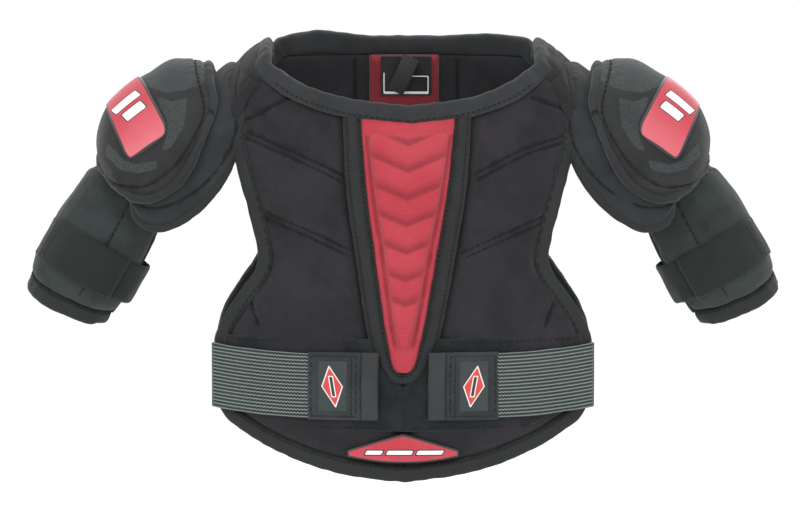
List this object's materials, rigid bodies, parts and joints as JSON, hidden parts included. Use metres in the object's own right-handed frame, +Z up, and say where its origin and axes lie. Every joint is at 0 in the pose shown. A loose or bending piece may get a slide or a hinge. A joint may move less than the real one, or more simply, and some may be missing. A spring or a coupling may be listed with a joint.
{
  "type": "hockey shoulder pads",
  "caption": "Youth ice hockey shoulder pads: padded vest with a red sternum pad, domed shoulder caps, hinged biceps guards and hook-and-loop waist and arm straps.",
  "frame": {"origin": "middle of the neck opening at shoulder level, where the pads hang on the wearer", "axes": "+X to the wearer's left across the shoulders, -Y out of the wearer's chest, +Z up"},
  "size_m": [0.5864, 0.1937, 0.3347],
  "materials": {
    "black_fabric": "woven polyester with a fine mesh texture",
    "tape_fabric": "folded edge tape with a row of stitches",
    "liner_fabric": "brushed lining cloth",
    "elastic": "dark elastic webbing with grey stripes",
    "red_fabric": "embossed red mesh over foam",
    "hook_fabric": "hook-and-loop pile",
    "grip": "ribbed soft grip",
    "badge": "moulded red badge with a dark rim",
    "grey_print": "grey printed cover fabric",
    "cap_plastic": "moulded polyethylene",
    "foam": "closed-cell foam"
  },
  "bodies": {
    "back": {"back_liner": "liner_fabric", "back_panel": "black_fabric", "spine_plate": "cap_plastic", "spine_pad": "red_fabric", "size_label": "tape_fabric", "hang_loop": "tape_fabric", "back_neck_tape": "tape_fabric", "back_hem_tape": "tape_fabric", "left_yoke": "black_fabric", "left_side_web": "elastic", "right_yoke": "black_fabric", "right_side_web": "elastic"},
    "front": {"front_liner": "liner_fabric", "sternum_plate": "cap_plastic", "sternum_pad": "red_fabric", "sternum_tape": "tape_fabric", "front_neck_tape": "tape_fabric", "front_edge_tape": "tape_fabric", "belly_badge": "badge", "left_chest_panel": "black_fabric", "left_waist_loop": "hook_fabric", "right_chest_panel": "black_fabric", "right_waist_loop": "hook_fabric"},
    "left_waist_strap": {"left_strap_elastic": "elastic", "left_strap_tab": "tape_fabric", "left_strap_hook": "hook_fabric", "left_strap_patch": "tape_fabric", "left_strap_grip": "grip"},
    "left_shoulder": {"left_cap_cover": "grey_print", "left_cap_shell": "cap_plastic", "left_cap_foam": "foam", "left_cap_flap": "black_fabric", "left_cap_badge": "badge"},
    "left_biceps": {"left_biceps_liner": "liner_fabric", "left_biceps_plate": "cap_plastic", "left_biceps_pad": "black_fabric", "left_biceps_tape": "tape_fabric", "left_arm_band": "elastic"},
    "left_arm_strap": {"left_arm_hook": "hook_fabric", "left_arm_strap": "elastic", "left_arm_grip": "grip"},
    "right_waist_strap": {"right_strap_elastic": "elastic", "right_strap_tab": "tape_fabric", "right_strap_hook": "hook_fabric", "right_strap_patch": "tape_fabric", "right_strap_grip": "grip"},
    "right_shoulder": {"right_cap_cover": "grey_print", "right_cap_shell": "cap_plastic", "right_cap_foam": "foam", "right_cap_flap": "black_fabric", "right_cap_badge": "badge"},
    "right_biceps": {"right_biceps_liner": "liner_fabric", "right_biceps_plate": "cap_plastic", "right_biceps_pad": "black_fabric", "right_biceps_tape": "tape_fabric", "right_arm_band": "elastic"},
    "right_arm_strap": {"right_arm_hook": "hook_fabric", "right_arm_strap": "elastic", "right_arm_grip": "grip"}
  },
  "joints": [
    {"name": "front_swing", "type": "hinge", "parent": "back", "child": "front", "pos_m": [0, -0.046, -0.004], "axis": [-1, 0, 0], "range_deg": [0, 18]},
    {"name": "left_waist_strap_peel", "type": "hinge", "parent": "front", "child": "left_waist_strap", "pos_m": [0.149, -0.052, -0.247], "axis": [0, 0, 1], "range_deg": [0, 100]},
    {"name": "left_cap_lift", "type": "hinge", "parent": "back", "child": "left_shoulder", "pos_m": [0.1425, 0, -0.002], "axis": [0, -1, 0], "range_deg": [0, 60]},
    {"name": "left_biceps_swing", "type": "hinge", "parent": "left_shoulder", "child": "left_biceps", "pos_m": [0.176, 0, -0.04], "axis": [0, 1, 0], "range_deg": [0, 25]},
    {"name": "left_arm_strap_peel", "type": "hinge", "parent": "left_biceps", "child": "left_arm_strap", "pos_m": [0.21711, -0.03278, -0.16699], "axis": [0.4848, 0, -0.8746], "range_deg": [0, 100]},
    {"name": "right_waist_strap_peel", "type": "hinge", "parent": "front", "child": "right_waist_strap", "pos_m": [-0.149, -0.052, -0.247], "axis": [0, 0, -1], "range_deg": [0, 100]},
    {"name": "right_cap_lift", "type": "hinge", "parent": "back", "child": "right_shoulder", "pos_m": [-0.1425, 0, -0.002], "axis": [0, 1, 0], "range_deg": [0, 60]},
    {"name": "right_biceps_swing", "type": "hinge", "parent": "right_shoulder", "child": "right_biceps", "pos_m": [-0.176, 0, -0.04], "axis": [0, -1, 0], "range_deg": [0, 25]},
    {"name": "right_arm_strap_peel", "type": "hinge", "parent": "right_biceps", "child": "right_arm_strap", "pos_m": [-0.21711, -0.03278, -0.16699], "axis": [0.4848, 0, 0.8746], "range_deg": [0, 100]}
  ]
}
